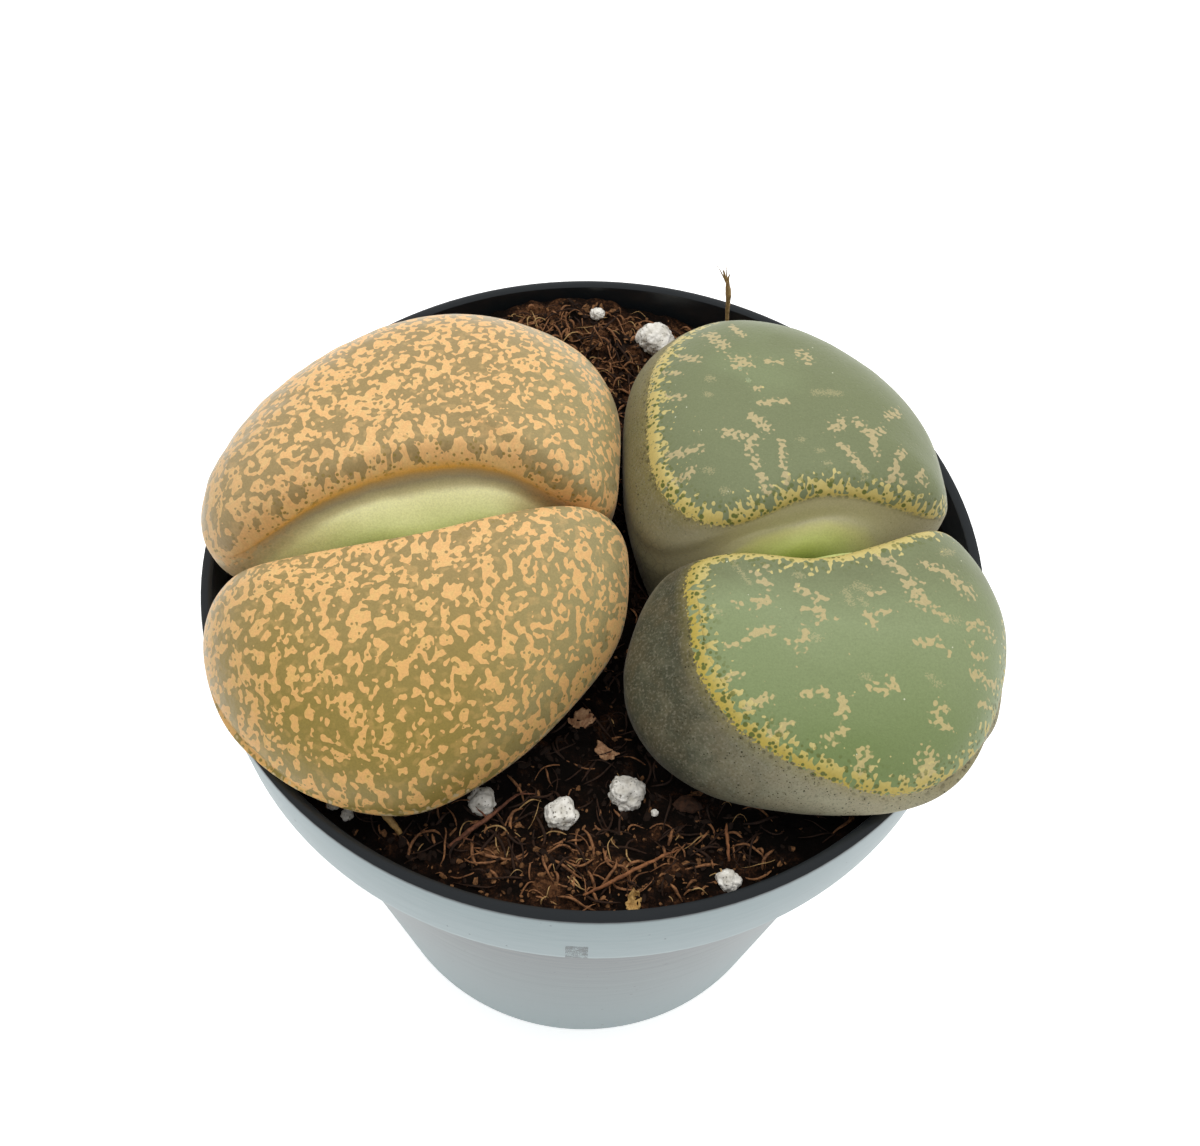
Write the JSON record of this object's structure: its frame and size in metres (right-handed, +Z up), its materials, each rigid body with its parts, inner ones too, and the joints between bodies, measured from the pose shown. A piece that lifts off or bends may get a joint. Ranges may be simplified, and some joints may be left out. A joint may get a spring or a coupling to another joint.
{
  "type": "potted lithops",
  "caption": "Lithops succulents with mottled fleshy leaf pairs, grown in a small round black nursery pot of peat and perlite.",
  "frame": {"origin": "centre of the pot's flat base, on the surface that the pot stands on", "axes": "+Z up; -Y is the front of the pot; the fissures of the plants run roughly along X"},
  "size_m": [0.065, 0.065, 0.0673],
  "materials": {
    "pot_plastic": "satin",
    "peat": "matte",
    "left_leaf_skin": "satin",
    "right_leaf_skin": "satin",
    "root_bark": "matte",
    "dry_husk": "matte",
    "bark": "matte",
    "peat_fibre": "matte",
    "dry_stalk": "matte",
    "perlite": "matte"
  },
  "bodies": {
    "root": {"bark_chip": "bark", "dark_twig": "bark", "dry_husk_1": "dry_husk", "dry_husk_2": "dry_husk", "dry_stalk": "dry_stalk", "left_back_leaf": "left_leaf_skin", "left_front_leaf": "left_leaf_skin", "left_root": "root_bark", "long_fibre": "peat_fibre", "pale_curl": "dry_husk", "pale_splinter": "dry_husk", "perlite_grain_1": "perlite", "perlite_grain_2": "perlite", "perlite_grain_3": "perlite", "perlite_grain_4": "perlite", "perlite_grain_5": "perlite", "perlite_grain_6": "perlite", "perlite_grain_7": "perlite", "perlite_grain_8": "perlite", "perlite_grain_9": "perlite", "pot": "pot_plastic", "right_back_leaf": "right_leaf_skin", "right_front_leaf": "right_leaf_skin", "right_root": "root_bark", "soil": "peat"}
  },
  "joints": []
}
